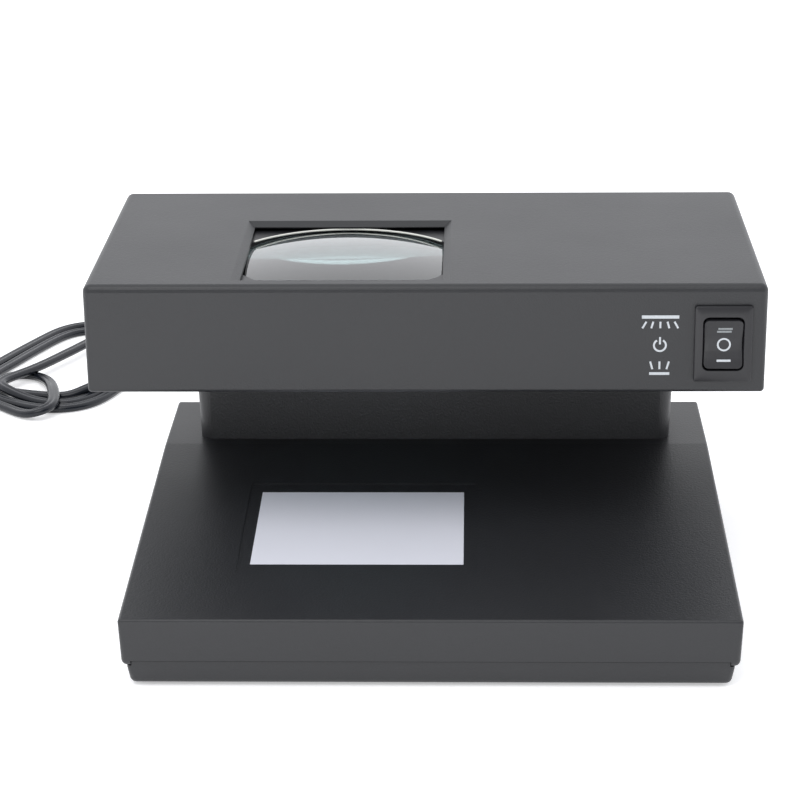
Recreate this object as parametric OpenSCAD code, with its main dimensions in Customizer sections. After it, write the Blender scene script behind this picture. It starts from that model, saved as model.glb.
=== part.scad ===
// Desktop counterfeit bill detector.
// A lamp head with a magnifying lens stands on a hollow neck over a sloping base with a lit panel.
// X runs left to right, +Y to the back, +Z up. The origin is on the table, under the middle of the body.

/* [Head] */
// Width of the head, left to right
head_w = 267.2; // [257:0.2:275]
// Depth of the head, front to back
head_d = 143.5; // [141:0.5:146]
// Height of the head
head_h = 44; // [43:0.2:46]
// Height of the head's underside above the table
head_z = 92; // [88:0.2:100]
// Rounding of the head's upper edges
head_r = 3.2; // [2:0.2:4]

/* [Lens] */
// Diameter of the magnifying lens
lens_d = 92; // [88:0.5:93]
// Rise of each lens face from its edge to its middle
lens_sag = 4.6; // [3:0.1:5]
// Thickness of the lens at its edge
lens_edge = 3; // [2:0.1:3.5]
// Width of the square window over the lens, inside its bevel
window_w = 80; // [70:1:82]

/* [Base] */
// Width of the base
base_w = 234.6; // [228:0.2:238]
// Depth of the base, which is the depth of the whole body
base_d = 220; // [216:1:224]
// Height of the base at its front edge
base_front_h = 28.4; // [27:0.2:30]
// Height of the flat rear part of the base
base_rear_h = 38.1; // [37:0.1:40]
// Height of the upper shell's lower rim
parting_z = 9; // [8.8:0.1:9.6]
// Height of the rubber feet below the pan
foot_h = 1; // [0.8:0.1:1.4]

/* [Lit panel] */
// Width of the white panel
panel_w = 83.6; // [76:0.2:86]
// Length of the white panel along the slope
panel_l = 67.4; // [60:0.2:70]

/* [Neck] */
// Width of the neck
neck_w = 203.6; // [198:0.2:206]
// Depth of the neck, front to back
neck_d = 49.8; // [44:0.2:50]

/* [Switch] */
// Angle that the rocker tips to each side of its middle position, in degrees
rocker_tip = 11; // [8:0.5:12]
// Height of the rocker's face
rocker_h = 21; // [20:0.2:21.4]
// Width of the rocker's face
rocker_w = 15.1; // [14:0.1:15.2]

/* [Mains lead] */
// Width of the flat twin lead
cord_w = 6; // [5.6:0.1:6.4]
// Thickness of the flat twin lead
cord_t = 3.6; // [3.2:0.1:3.8]

/* [Hidden] */

charcoal = [0.17, 0.17, 0.18];
black = [0.07, 0.07, 0.075];
opal = [0.86, 0.85, 0.9];
steel = [0.7, 0.7, 0.72];
aluminium = [0.8, 0.81, 0.82];
brass = [0.78, 0.65, 0.35];
board_green = [0.12, 0.32, 0.2];
cord_grey = [0.2, 0.22, 0.25];

wall = 2.4;                                   // wall of the mouldings
cover_back = base_d / 2 - 1.2;                // the rear cover sits in, so its screw heads stay inside
head_top = head_z + head_h;
head_draft = 0.5;                             // the head's ends draw in this much towards the bottom
head_front = base_d / 2 - head_d;             // the head's back is flush with the base's back
head_back = base_d / 2;
base_x = 2.7;                                 // the base sits a little to the right of the head
side_inset = 3.4;                             // inner face of the base walls, in from the widest line
seam_rise = 2.2;                              // the pan's front stands this much higher, in a notch of the shell
seam_gap = 0.6;                               // open shadow line left between the notch and the pan
seam_end = 4.2;                               // the notch ends this far in from the shell's ends
pan_side = 2.6;                               // the pan's ends and its front, in from the widest line
pan_front = 1.6;
pan_draft = 0.6;                              // the pan's sides draw in this much towards its floor
pan_r = 2.6;                                  // rounding of the pan's lower edges
crease_y = 54.7;                              // where the slope meets the flat rear part
slope = atan((base_rear_h - base_front_h) / (crease_y + base_d / 2));
deck_t = 2.4;
neck_front = base_d / 2 - neck_d;
neck_x = 2.2;
neck_flare = 1.021;                           // how much wider the neck is under the head
neck_x0 = neck_x - neck_w / 2;
neck_x1 = neck_x + neck_w / 2;

screw_d = 2.9;                                // self-tapping screws and the holes they use
pilot_d = 3.0;
clear_d = 3.4;
boss_d = 7;
screw_head_d = 5.6;
screw_head_h = 2;

panel_x = -26.6;
panel_y = -28.7;
panel_t = 3;
panel_recess = 0.3;                           // depth of the shallow frame round the panel, and its widths
frame_side = 5.2;
frame_end = 8;

lens_x = -33;
lens_y = 17.9;
lens_top_edge = head_top - 5;                 // upper rim of the lens
lens_mid = lens_top_edge - lens_edge / 2;
lens_r = (pow(lens_d / 2, 2) + pow(lens_sag, 2)) / (2 * lens_sag);
window_l = window_w + 1.5;
skirt_gap = 10;                               // the skirt stops this far before the window's far side
bevel_w = 3;
bevel_h = 2;
holder_w = 97;

tube_d = 16;                                  // T5 fluorescent tubes of 4 W
tube_l = 135.9;
tube_pin_l = 7.1;
tube_pin_gap = 5;
uv_x = -20;
uv_front_y = -15;
uv_rear_y = 50;
uv_z = 105;
backlight_x = panel_x;
backlight_z = 15.8;

switch_x = 116.4;
switch_z = 112.4;
bezel_w = 22.5;
bezel_h = 30.8;
bezel_t = 1.6;
switch_body_w = 18.8;
switch_body_h = 27.8;
switch_depth = 22;
rocker_pivot = [switch_x, head_front + 2.5, switch_z];
blade_pivot = [switch_x, rocker_pivot.y + 11.5, switch_z];

exit_x = -60;                                 // where the lead leaves the back of the base
exit_z = 20;
relief_l = 24;

base_screw_spots = [for (sx = [-100, 100], y = [-92, 92]) [base_x + sx, y]];
foot_spots = [for (sx = [-90, 90], y = [-76, 76]) [base_x + sx, y]];
head_screw_spots = [[-124, -23], [-124, 98], [94, -23], [124, 98]];
neck_screw_spots = [for (sx = [-84, 84], y = [71, 98]) [neck_x + sx, y]];
cover_screw_spots = [for (sx = [-88, 88], z = [48, 83]) [neck_x + sx, z]];
lens_screw_x = 53;
lens_screw_y = 30;
lens_screw_spots =
    [for (sx = [-1, 1], sy = [-1, 1]) [lens_x + sx * lens_screw_x, lens_y + sy * lens_screw_y]];
base_board = [[56, -76], [100, 4]];           // opposite corners of the two circuit boards
head_board = [[66, 12], [112, 84]];
function board_holes(c) = [for (x = [c[0].x + 4, c[1].x - 4], y = [c[0].y + 4, c[1].y - 4]) [x, y]];

// The lead's own route: out of the relief, down to the table and up onto the coil
lead_route = [
    [-60, 134.2, 20], [-60, 142, 19], [-60.5, 152, 16], [-61, 163, 11.5], [-62, 175, 6.8],
    [-63.5, 187, 3.4], [-66, 199, 2], [-70, 210, 1.8], [-76, 221, 1.8], [-85, 230, 1.8],
    [-97, 236, 1.8], [-110, 240, 1.8], [-124, 243, 2.2], [-136, 244, 4], [-147, 243, 5.6]
];
// The tail from the far side of the coil to the plug behind the neck
tail_route = [
    [-144, 304, 3], [-139.5, 297.5, 2], [-134, 289, 1.8], [-126, 279, 1.8], [-115, 270, 1.8],
    [-101, 262.5, 1.8], [-87, 256.5, 1.8], [-72, 251, 1.8], [-56, 245, 1.8], [-42, 237.5, 2.1],
    [-29, 228, 3.2], [-19, 217.5, 5], [-13.5, 206, 6.6], [-12, 195.5, 7]
];
coil_centre = [-190, 262];
coil_long = 79;                               // half lengths of the oval coil
coil_short = 43;
coil_turn = -12.5;
coil_h = 12;

plug_at = [-12, 190, 7];                      // where the lead enters the plug, which points to the front
plug_l = 34;
plug_pin_d = 4;
plug_pin_l = 19;
plug_pin_gap = 18.6;

// --- helpers ---------------------------------------------------------------

// Block between two opposite corners
module block(a, b) translate(a) cube(b - a);

// Puts its children at each spot of a flat list, at one height
module at_spots(spots, z) for (s = spots) translate([s.x, s.y, z]) children();

// Height of the sloping deck at y
function deck_z(y) = base_front_h + (y + base_d / 2) * tan(slope);

// Moves to a point on the sloping deck and tilts with it
module on_deck(x, y) translate([x, y, deck_z(y)]) rotate([slope, 0, 0]) children();

// Self-tapping screw with a pan head and a cross recess; the head is below z = 0, the shank points up
module screw(l) {
    difference() {
        translate([0, 0, -screw_head_h]) cylinder(d = screw_head_d, h = screw_head_h, $fn = 32);
        for (a = [0, 90]) rotate(a) block([-1.6, -0.35, -screw_head_h - 1], [1.6, 0.35, -screw_head_h + 1]);
    }
    cylinder(d = screw_d, h = l, $fn = 24);
}

// Rectangular opening whose mouth flares at 45 degrees or so; z = 0 is the mouth
module flared_cut(w, l, flare, depth) {
    intersection() {
        translate([0, l, 0]) rotate([90, 0, 0]) linear_extrude(2 * l)
            polygon([[-w / 2 - flare, 0], [w / 2 + flare, 0], [w / 2, -depth], [-w / 2, -depth]]);
        translate([-w, 0, 0]) rotate([90, 0, 90]) linear_extrude(2 * w)
            polygon([[-l / 2 - flare, 0], [l / 2 + flare, 0], [l / 2, -depth], [-l / 2, -depth]]);
    }
}

// Plan outline with round corners, made of true arcs
module round_plan(x0, x1, y0, y1, r) {
    translate([x0 + r, y0]) square([x1 - x0 - 2 * r, y1 - y0]);
    translate([x0, y0 + r]) square([x1 - x0, y1 - y0 - 2 * r]);
    for (x = [x0 + r, x1 - r], y = [y0 + r, y1 - r]) translate([x, y]) circle(r = r, $fn = 48);
}

module centred_plan(w, l, r) round_plan(-w / 2, w / 2, -l / 2, l / 2, r);

// Flat-section tube along a route: an eight-sided ring at each point, its wide side level
function unit2(v) = v / max(norm(v), 0.001);
function heading(route, i) =
    unit2(route[min(i + 1, len(route) - 1)] - route[max(i - 1, 0)]);
function ring(route, i, w, t) = let (
    along = heading(route, i),
    side = unit2(cross(along, abs(along.z) > 0.9 ? [0, 1, 0] : [0, 0, 1])),
    up = cross(side, along))
    [for (k = [0:7]) route[i] + side * (w / 2 * cos(k * 45)) + up * (t / 2 * sin(k * 45))];
module swept(route, w, t) {
    last = len(route) - 1;
    points = [for (i = [0:last]) each ring(route, i, w, t)];
    sides = [for (i = [0:last - 1], k = [0:7]) let (n = (k + 1) % 8)
        [8 * i + k, 8 * i + n, 8 * i + 8 + n, 8 * i + 8 + k]];
    ends = [[for (k = [7:-1:0]) k], [for (k = [0:7]) 8 * last + k]];
    polyhedron(points, concat(sides, ends), convexity = 8);
}

// --- base --------------------------------------------------------------------

// Outer form of the upper shell: sloping front deck, flat rear deck, sides drawn in towards the parting line
module base_upper_form() {
    half_w = base_w / 2;
    half_d = base_d / 2;
    edge = 1.2;
    lower = 2.4;
    draft = 0.5;
    hull() for (sx = [-1, 1]) translate([base_x, 0, 0]) {
        translate([sx * (half_w - edge), -half_d + edge, base_front_h - edge]) sphere(r = edge, $fn = 32);
        translate([sx * (half_w - edge), crease_y, base_rear_h - edge]) sphere(r = edge, $fn = 32);
        translate([sx * (half_w - edge), half_d - edge, base_rear_h - edge]) sphere(r = edge, $fn = 32);
        for (sy = [-1, 1])
            translate([sx * (half_w - draft - lower), sy * (half_d - draft - lower), parting_z + lower])
                sphere(r = lower, $fn = 32);
    }
}

module base_top_shell() color(charcoal) difference() {
    union() {
        difference() {
            base_upper_form();
            translate([base_x - base_w / 2 + side_inset, 0, 0]) rotate([90, 0, 90])
                linear_extrude(base_w - 2 * side_inset) polygon([
                    [-base_d / 2 + side_inset, 0], [-base_d / 2 + side_inset, base_front_h - deck_t],
                    [crease_y, base_rear_h - deck_t], [base_d / 2 - side_inset, base_rear_h - deck_t],
                    [base_d / 2 - side_inset, 0]]);
        }
        for (s = base_screw_spots)
            translate([s.x, s.y, parting_z + 2.6])
                cylinder(d = boss_d, h = min(deck_z(s.y), base_rear_h) - parting_z - 4, $fn = 32);
        for (sy = [-1, 1]) on_deck(panel_x, panel_y)
            block([-panel_w / 2 - 6, sy > 0 ? panel_l / 2 + 1.8 : -panel_l / 2 - 3.6, -6],
                  [panel_w / 2 + 6, sy > 0 ? panel_l / 2 + 3.6 : -panel_l / 2 - 1.8, -1]);
    }
    on_deck(panel_x, panel_y) {
        block([-panel_w / 2 - 0.1, -panel_l / 2 - 0.1, -8],
              [panel_w / 2 + 0.1, panel_l / 2 + 0.1, 8]);
        block([-panel_w / 2 - frame_side, -panel_l / 2 - frame_end, -panel_recess],
              [panel_w / 2 + frame_side, panel_l / 2 + frame_end, 8]);
    }
    translate([base_x, 0, 0])
        block([-base_w / 2 + seam_end, -base_d / 2 - 1, 0],
              [base_w / 2 - seam_end, -base_d / 2 + side_inset + 1, parting_z + seam_rise]);
    at_spots(base_screw_spots, 0) cylinder(d = pilot_d, h = 24, $fn = 24);
    block([-40, 74, base_rear_h - 8], [20, 96, base_rear_h + 2]);
    at_spots(neck_screw_spots, base_rear_h - 8) cylinder(d = clear_d, h = 12, $fn = 24);
    translate([exit_x, base_d / 2 - 10, exit_z]) rotate([-90, 0, 0]) cylinder(d = 9, h = 20, $fn = 48);
}

module base_bottom_pan() color(charcoal) difference() {
    union() {
        difference() {
            hull() for (sx = [-1, 1], sy = [-1, 1]) translate([base_x, 0, 0]) {
                rim_r = 1.5;
                translate([sx * (base_w / 2 - pan_side - rim_r), sy * (base_d / 2 - pan_front - rim_r),
                           parting_z - 1])
                    cylinder(r = rim_r, h = 0.9, $fn = 32);
                translate([sx * (base_w / 2 - pan_side - pan_draft - pan_r),
                           sy * (base_d / 2 - pan_front - pan_draft - pan_r), foot_h + pan_r])
                    sphere(r = pan_r, $fn = 32);
            }
            translate([base_x, 0, 0])
                block([-base_w / 2 + 7, -base_d / 2 + 7, foot_h + 2.2], [base_w / 2 - 7, base_d / 2 - 7, 20]);
        }
        // raised front edge, nearly flush with the upper shell
        translate([base_x, 0, 0])
            block([-base_w / 2 + seam_end + 0.2, -base_d / 2 + pan_front, parting_z - 1],
                  [base_w / 2 - seam_end - 0.2, -base_d / 2 + 6, parting_z + seam_rise - seam_gap]);
        // lip that locates inside the upper shell
        translate([base_x, 0, parting_z - 1]) linear_extrude(3.6) difference() {
            centred_plan(base_w - 7.4, base_d - 7.4, 1.5);
            centred_plan(base_w - 14, base_d - 14, 1);
        }
        at_spots(base_screw_spots, foot_h + 1) cylinder(d = 9, h = parting_z - foot_h + 1.4, $fn = 32);
        at_spots(board_holes(base_board), foot_h + 1) cylinder(d = 6, h = 6, $fn = 32);
        block([exit_x - 7, 92, foot_h + 1], [exit_x + 7, 98, exit_z - 6]);
    }
    at_spots(base_screw_spots, 0) cylinder(d = clear_d, h = 24, $fn = 24);
    at_spots(base_screw_spots, 0) cylinder(d = 6.4, h = foot_h + 3.4, $fn = 32);
    at_spots(foot_spots, 0) cylinder(d = 14.2, h = foot_h + 1, $fn = 48);
    at_spots(board_holes(base_board), foot_h + 2) cylinder(d = pilot_d, h = 8, $fn = 24);
    for (i = [0:6]) block([-86 + 9 * i, 40, -1], [-82.5 + 9 * i, 74, foot_h + 3]);
}

module base_screws() color(steel)
    at_spots(base_screw_spots, foot_h + 3.4) screw(13);

module rubber_feet() color(black) at_spots(foot_spots, 0) rotate_extrude($fn = 48)
    polygon([[0, 0], [6, 0], [6.7, 0.7], [7, 1.5], [7, foot_h + 1], [0, foot_h + 1]]);

module diffuser_panel() color(opal) on_deck(panel_x, panel_y) {
    block([-panel_w / 2, -panel_l / 2, -panel_t], [panel_w / 2, panel_l / 2, -panel_recess]);
    block([-panel_w / 2 - 3, -panel_l / 2 - 1.6, -panel_t - 1.5],
          [panel_w / 2 + 3, panel_l / 2 + 1.6, -panel_t]);
}

// Folded aluminium trough under the tube; its lips press the panel against the deck
module backlight_reflector() color(aluminium) translate([backlight_x - 64, panel_y, 0]) rotate([90, 0, 90])
    linear_extrude(128) {
        sheet = 0.8;
        polygon([
            [-33, 25.4], [-33, 24.6], [-29, 24.6], [-20, 5 - sheet], [20, 5 - sheet], [29, 28.6],
            [33, 28.6], [33, 29.4], [28.4, 29.4], [19.4, 5], [-19.4, 5], [-28.4, 25.4]]);
    }

// Glass of a tube that runs along X, centred on the origin
module tube_glass() rotate([0, 90, 0]) translate([0, 0, -tube_l / 2 + 6])
    cylinder(d = tube_d - 0.4, h = tube_l - 12, $fn = 64);

// The two metal end caps of a tube with their pins
module tube_caps() for (end = [-1, 1]) translate([end * tube_l / 2, 0, 0]) rotate([0, end * 90, 0]) {
    translate([0, 0, -6]) cylinder(d = tube_d, h = 6, $fn = 64);
    for (s = [-1, 1]) translate([0, s * tube_pin_gap / 2, 0]) cylinder(d = 2.3, h = tube_pin_l, $fn = 24);
}

// The two sockets at the ends of a tube, standing on z = foot below the tube's axis
module tube_holders(foot) for (end = [-1, 1]) scale([end, 1, 1]) difference() {
    union() {
        block([tube_l / 2 + 0.3, -9, -foot], [tube_l / 2 + 8.8, 9, 8]);
        block([tube_l / 2 + 0.3, -13, -foot], [tube_l / 2 + 8.8, 13, -foot + 2.5]);
    }
    for (s = [-1, 1]) translate([tube_l / 2 - 1, s * tube_pin_gap / 2, 0]) rotate([0, 90, 0])
        cylinder(d = 2.6, h = 9, $fn = 24);
}

module backlight_tube() color(opal) translate([backlight_x, panel_y, backlight_z]) tube_glass();
module backlight_tube_caps() color(aluminium) translate([backlight_x, panel_y, backlight_z]) tube_caps();
module backlight_holders() color("white")
    translate([backlight_x, panel_y, backlight_z]) tube_holders(backlight_z - foot_h - 2.2);

// Printed circuit board with a hole in each corner
module circuit_board(corners, z) difference() {
    translate([0, 0, z]) linear_extrude(1.6)
        round_plan(corners[0].x, corners[1].x, corners[0].y, corners[1].y, 1.5);
    at_spots(board_holes(corners), z - 1) cylinder(d = clear_d, h = 4, $fn = 24);
}

base_board_z = foot_h + 7;
base_board_top = base_board_z + 1.6;
module base_circuit_board() color(board_green) circuit_board(base_board, base_board_z);

// Capacitors, power transistors and a fuse holder, soldered on a board; they stand on z = 0
module board_parts(spots) {
    for (s = spots[0]) translate([s.x, s.y, 0]) {
        cylinder(d = 8, h = 11, $fn = 40);
        cylinder(d = 8.4, h = 1, $fn = 40);
    }
    for (s = spots[1]) translate([s.x, s.y, 0]) {
        block([-2.3, -5, 2], [2.3, 5, 11]);
        for (k = [-1:1]) block([-0.4, k * 2.5 - 0.4, 0], [0.4, k * 2.5 + 0.4, 2]);
    }
    for (s = spots[2]) translate([s.x, s.y, 0]) block([-2.6, -6, 0], [2.6, 6, 8]);
}
module base_board_parts() color([0.25, 0.25, 0.3]) translate([0, 0, base_board_top])
    board_parts([[[66, -12], [66, -24]], [[92, -16], [92, -30]], [[64, -62], [74, -62]]]);

// Ferrite core with a bobbin between its legs
module ferrite_transformer() difference() {
    union() {
        block([-9, -8, 0], [9, 8, 3]);
        block([-9, -8, 11], [9, 8, 14]);
        block([-9, -8, 3], [-6, 8, 11]);
        block([6, -8, 3], [9, 8, 11]);
        translate([0, 0, 3]) cylinder(d = 10, h = 8, $fn = 40);
    }
    translate([0, 0, -1]) cylinder(d = 2, h = 16, $fn = 24);
}
module base_transformer() color([0.2, 0.18, 0.16]) translate([80, -40, base_board_top]) ferrite_transformer();

module board_screws() color(steel) {
    at_spots(board_holes(base_board), base_board_top) rotate([180, 0, 0]) screw(5);
    at_spots(board_holes(head_board), head_board_top) rotate([180, 0, 0]) screw(5);
}

// Two-way block where the mains lead joins the inner wires
module terminal_block() color("ivory") difference() {
    block([exit_x - 10, 60, foot_h + 2.2], [exit_x + 10, 74, foot_h + 14]);
    for (s = [-1, 1]) translate([exit_x + s * 5, 67, 0]) {
        translate([0, 0, foot_h + 9]) cylinder(d = 4, h = 10, $fn = 24);
        translate([0, -10, foot_h + 7]) rotate([-90, 0, 0]) cylinder(d = 3, h = 20, $fn = 24);
    }
}

// Two cores of the lead, from the strain relief down into the terminal block
module mains_wires() color("saddlebrown") for (s = [-1, 1])
    swept([[exit_x + s * 1.6, 98.5, exit_z], [exit_x + s * 2.6, 92, exit_z - 1],
           [exit_x + s * 4.4, 85, exit_z - 6], [exit_x + s * 5, 79, foot_h + 8.4],
           [exit_x + s * 5, 75, foot_h + 7.1], [exit_x + s * 5, 68, foot_h + 7]], 2, 2);

// --- neck ----------------------------------------------------------------------

module neck_shell() color(charcoal) difference() {
    union() {
        translate([neck_x, 0, base_rear_h])
            linear_extrude(head_z - base_rear_h, scale = [neck_flare, 1]) difference() {
                union() {
                    round_plan(-neck_w / 2, neck_w / 2, neck_front, cover_back - wall, 6);
                    translate([-neck_w / 2, neck_front + 10])
                        square([neck_w, cover_back - wall - neck_front - 10]);
                }
                translate([-neck_w / 2 + wall, neck_front + wall]) square([neck_w - 2 * wall, neck_d]);
            }
        // floor and roof, the roof wider with the flare
        for (p = [[base_rear_h, 1], [head_z - wall, -0.4]]) translate([0, 0, p[0]]) linear_extrude(wall)
            round_plan(neck_x0 + p[1], neck_x1 - p[1], neck_front + 1, cover_back - wall, 5);
        for (s = cover_screw_spots) {
            edge = s.x < 0 ? neck_x0 : neck_x1;
            translate([s.x, cover_back - wall, s.y]) rotate([90, 0, 0])
                cylinder(d = boss_d, h = 12, $fn = 32);
            block([min(edge + 0.4, s.x), cover_back - wall - 12, s.y - 1],
                  [max(edge - 0.4, s.x), cover_back - wall, s.y + 1]);
        }
    }
    for (z = [base_rear_h - 1, head_z - wall - 1]) {
        block([-40, 74, z], [20, 96, z + wall + 2]);
        at_spots(neck_screw_spots, z) cylinder(d = clear_d, h = wall + 2, $fn = 24);
    }
    for (s = cover_screw_spots) translate([s.x, cover_back, s.y]) rotate([90, 0, 0])
        cylinder(d = pilot_d, h = 12, $fn = 24);
}

// Screws that clamp the neck to the base from below and to the head from within
module neck_screws() color(steel) {
    at_spots(neck_screw_spots, base_rear_h - deck_t) screw(6);
    at_spots(neck_screw_spots, head_z - wall) screw(6);
}

module rear_cover() color(charcoal) difference() {
    translate([neck_x, cover_back - wall + 0.1, base_rear_h + 0.3])
        linear_extrude(head_z - base_rear_h - 0.6, scale = [neck_flare, 1])
            translate([-neck_w / 2 + 0.3, 0]) square([neck_w - 0.6, wall - 0.1]);
    for (s = cover_screw_spots) translate([s.x, cover_back + 1, s.y]) rotate([90, 0, 0]) {
        cylinder(d = clear_d, h = 6, $fn = 24);
        cylinder(d = 6.4, h = 1.9, $fn = 32);
    }
    for (z = [48:7:83]) block([neck_x - 45, cover_back - 5, z], [neck_x + 45, cover_back + 1, z + 3]);
}

module rear_cover_screws() color(steel) for (s = cover_screw_spots)
    translate([s.x, cover_back - 0.9, s.y]) rotate([90, 0, 0]) screw(9);

// Sleeved wires from the base board up through the neck to the head board
module neck_loom() color(black)
    swept([
        [80, 8, 14], [74, 20, 13], [60, 36, 12], [40, 52, 12], [20, 66, 13], [2, 76, 17],
        [-6, 82, 24], [-8, 85, 34], [-8, 85, 46], [-8, 85, 58], [-8, 85, 70], [-8, 85, 82],
        [-6, 85, 92], [2, 86, 98], [14, 87, 100], [30, 88, 100], [46, 88, 100], [62, 88, 100]], 6, 6);

// --- head ----------------------------------------------------------------------

module head_form() hull() for (sx = [-1, 1]) {
    for (y = [head_front + head_r, head_back - head_r])
        translate([sx * (head_w / 2 - head_r), y, head_top - head_r]) sphere(r = head_r, $fn = 32);
    for (y = [head_front + 1.6, head_back - 1.6])
        translate([sx * (head_w / 2 - head_draft - 1.6), y, head_z + 1.6]) sphere(r = 1.6, $fn = 32);
}

module head_top_shell() color(charcoal) difference() {
    union() {
        difference() {
            head_form();
            block([-head_w / 2 + wall, head_front + wall, head_z - 1],
                  [head_w / 2 - wall, head_back - wall, head_top - wall]);
        }
        // skirt on three sides of the window, which holds the lens down
        translate([lens_x, lens_y, 0])
            block([-window_w / 2 - 2, -window_l / 2 - 2, lens_top_edge + 1.4],
                  [window_w / 2 + 2, window_l / 2 - skirt_gap, head_top - 1]);
        at_spots(lens_screw_spots, lens_top_edge - 1.2) cylinder(d = 7.4, h = 4.6, $fn = 32);
        at_spots(head_screw_spots, head_z + wall) cylinder(d = boss_d, h = head_h - wall - 1, $fn = 32);
    }
    translate([lens_x, lens_y, head_top + 0.01]) flared_cut(window_w, window_l, bevel_w, bevel_h + 0.01);
    translate([lens_x, lens_y, 0])
        block([-window_w / 2, -window_l / 2, head_z + 20], [window_w / 2, window_l / 2, head_top + 1]);
    translate([switch_x, head_front, switch_z])
        block([-switch_body_w / 2 - 0.15, -2, -switch_body_h / 2 - 0.15],
              [switch_body_w / 2 + 0.15, 6, switch_body_h / 2 + 0.15]);
    at_spots(lens_screw_spots, lens_top_edge - 2) cylinder(d = pilot_d, h = 5, $fn = 24);
    at_spots(head_screw_spots, head_z) cylinder(d = pilot_d, h = 16, $fn = 24);
    block([head_w / 2 - 5, 43.8, 105.8], [head_w / 2 + 1, 56.2, 116.2]);
}

module head_bottom_plate() color(charcoal) difference() {
    union() {
        translate([0, (head_front + head_back) / 2, head_z]) linear_extrude(wall)
            centred_plan(head_w - 2 * wall - 0.4, head_d - 2 * wall - 0.4, 1);
        at_spots(board_holes(head_board), head_z + 1) cylinder(d = 6, h = 5.4, $fn = 32);
        at_spots(neck_screw_spots, head_z + 1) cylinder(d = boss_d, h = 5, $fn = 32);
    }
    block([uv_x - tube_l / 2 + 1, uv_front_y - 11.5, head_z - 1],
          [uv_x + tube_l / 2 - 1, uv_rear_y + 11.5, head_z + wall + 1]);
    block([-40, 74, head_z - 1], [20, 96, head_z + wall + 1]);
    at_spots(head_screw_spots, head_z - 1) {
        cylinder(d = clear_d, h = 5, $fn = 24);
        cylinder(d = 6.4, h = 2.2, $fn = 32);
    }
    at_spots(neck_screw_spots, head_z - 1) cylinder(d = pilot_d, h = 8, $fn = 24);
    at_spots(board_holes(head_board), head_z + 2) cylinder(d = pilot_d, h = 8, $fn = 24);
}

module head_screws() color(steel) at_spots(head_screw_spots, head_z + 1.2) screw(12);

// Biconvex magnifier: two shallow spherical faces and a ground edge
module lens() color([0.85, 0.92, 0.93, 0.4]) translate([lens_x, lens_y, lens_mid]) {
    steps = 18;
    half_angle = asin(lens_d / 2 / lens_r);
    crown = [for (i = [0:steps]) let (a = half_angle * i / steps)
        [lens_r * sin(a), lens_edge / 2 + lens_sag - lens_r * (1 - cos(a))]];
    belly = [for (i = [steps:-1:0]) [crown[i].x, -crown[i].y]];
    rotate_extrude($fn = 128) polygon(concat(crown, belly));
}

// Square frame that carries the lens on a round seat and screws to the head's roof
module lens_holder() color(black) translate([lens_x, lens_y, 0]) difference() {
    union() {
        block([-holder_w / 2, -holder_w / 2, lens_top_edge - 8],
              [holder_w / 2, holder_w / 2, lens_top_edge + 1.2]);
        for (x = [-lens_screw_x, lens_screw_x], y = [-lens_screw_y, lens_screw_y])
            translate([x, y, lens_top_edge - 4.4]) {
            cylinder(d = 9, h = 3, $fn = 32);
            block([-5, -4.5, 0], [5, 4.5, 3]);
        }
    }
    translate([0, 0, lens_top_edge - lens_edge - 0.5]) cylinder(d = lens_d + 0.6, h = 10, $fn = 128);
    translate([0, 0, lens_top_edge - 10]) cylinder(d = lens_d - 4, h = 12, $fn = 128);
    for (sx = [-1, 1], sy = [-1, 1]) translate([sx * lens_screw_x, sy * lens_screw_y, lens_top_edge - 10])
        cylinder(d = clear_d, h = 12, $fn = 24);
}

module lens_screws() color(steel) at_spots(lens_screw_spots, lens_top_edge - 4.4) screw(6);

module uv_tube_front() color([0.55, 0.5, 0.75, 0.7]) translate([uv_x, uv_front_y, uv_z]) tube_glass();
module uv_tube_rear() color([0.55, 0.5, 0.75, 0.7]) translate([uv_x, uv_rear_y, uv_z]) tube_glass();
module uv_tube_caps() color(aluminium)
    for (y = [uv_front_y, uv_rear_y]) translate([uv_x, y, uv_z]) tube_caps();

// Folded aluminium hood over each tube
module uv_reflectors() color(aluminium) for (y = [uv_front_y, uv_rear_y])
    translate([uv_x - 60, y, uv_z]) rotate([90, 0, 90]) linear_extrude(120) {
        sheet = 0.8;
        polygon([
            [-11, -8], [-11, 4], [-5, 10], [5, 10], [11, 4], [11, -8], [11 - sheet, -8],
            [11 - sheet, 3.6], [4.6, 10 - sheet], [-4.6, 10 - sheet], [-11 + sheet, 3.6], [-11 + sheet, -8]]);
    }
module uv_lamp_holders() color("white") for (y = [uv_front_y, uv_rear_y])
    translate([uv_x, y, uv_z]) tube_holders(uv_z - head_z - wall);

// Wires from the head board along the roof to the far lamp holders
module lamp_wires() color("firebrick") for (k = [0, 1])
    swept([[70, 30 + 4 * k, 101], [64, 30 + 4 * k, 106], [60, 31 + 4 * k, 113], [58, 20 + 18 * k, 117],
           [57, 4 + 38 * k, 117], [54.5, -12 + 60 * k, 116.6],
           [53, uv_front_y + k * (uv_rear_y - uv_front_y), 114.1]], 1.8, 1.8);

head_board_z = head_z + 6.4;
head_board_top = head_board_z + 1.6;
module head_circuit_board() color(board_green) circuit_board(head_board, head_board_z);
module head_board_parts() color([0.25, 0.25, 0.3]) translate([0, 0, head_board_top]) {
    board_parts([[[76, 44], [76, 55]], [[104, 34], [104, 68]], [[78, 72], [88, 72]]]);
    translate([90, 30, 0]) ferrite_transformer();
}

module buzzer() color(black) translate([91, 54, head_board_top]) difference() {
    union() {
        cylinder(d = 12, h = 9, $fn = 48);
        cylinder(d = 12.6, h = 1.2, $fn = 48);
    }
    translate([0, 0, 4]) cylinder(d = 2, h = 6, $fn = 24);
}

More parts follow.
